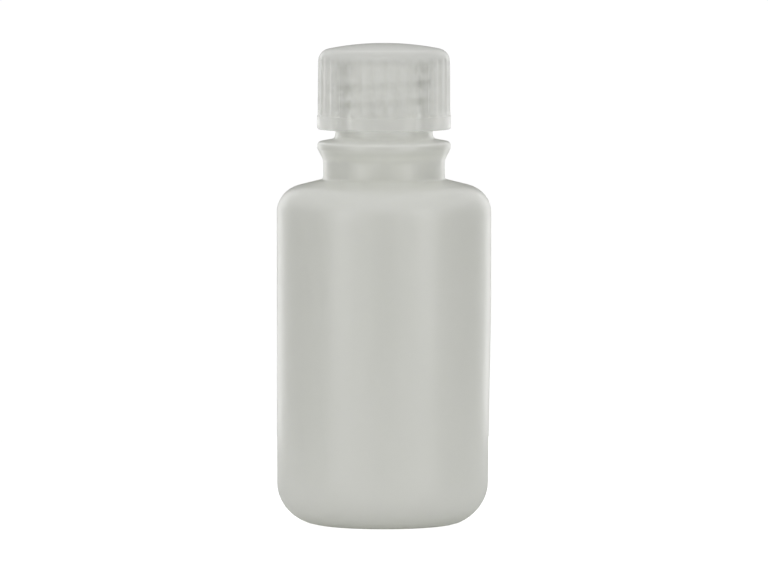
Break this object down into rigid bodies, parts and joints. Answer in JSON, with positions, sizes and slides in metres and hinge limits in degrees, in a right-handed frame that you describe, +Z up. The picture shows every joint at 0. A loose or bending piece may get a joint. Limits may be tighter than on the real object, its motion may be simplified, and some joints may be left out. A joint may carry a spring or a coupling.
{
  "type": "reagent bottle",
  "caption": "Narrow-mouth translucent plastic reagent bottle with a round shoulder, a neck collar and a fluted screw cap that carries a sealing liner.",
  "frame": {"origin": "centre of the foot, on the plane that the bottle stands on", "axes": "+Z up along the bottle's axis; +Y points away from the viewer and +X to the viewer's right, and the mould parting plane holds X and Z"},
  "size_m": [0.0386, 0.0386, 0.0866],
  "materials": {
    "bottle_plastic": "natural translucent polyethylene, soft matt",
    "cap_plastic": "natural translucent polypropylene, satin",
    "liner_foam": "white expanded polyethylene foam"
  },
  "bodies": {
    "bottle": {"bottle": "bottle_plastic"},
    "liner": {"cap_liner": "liner_foam"},
    "cap": {"screw_cap": "cap_plastic"}
  },
  "joints": [
    {"name": "cap_lift", "type": "slide", "parent": "bottle", "child": "liner", "axis": [0, 0, 1], "range_m": [0, 0.0159]},
    {"name": "cap_turn", "type": "hinge", "parent": "liner", "child": "cap", "pos_m": [0, 0, 0.0775], "axis": [0, 0, 1], "range_deg": [0, 1800]}
  ],
  "couplings": [
    {"joint": "cap_lift", "follows": "cap_turn", "m_per_rad": 0.00050532}
  ]
}
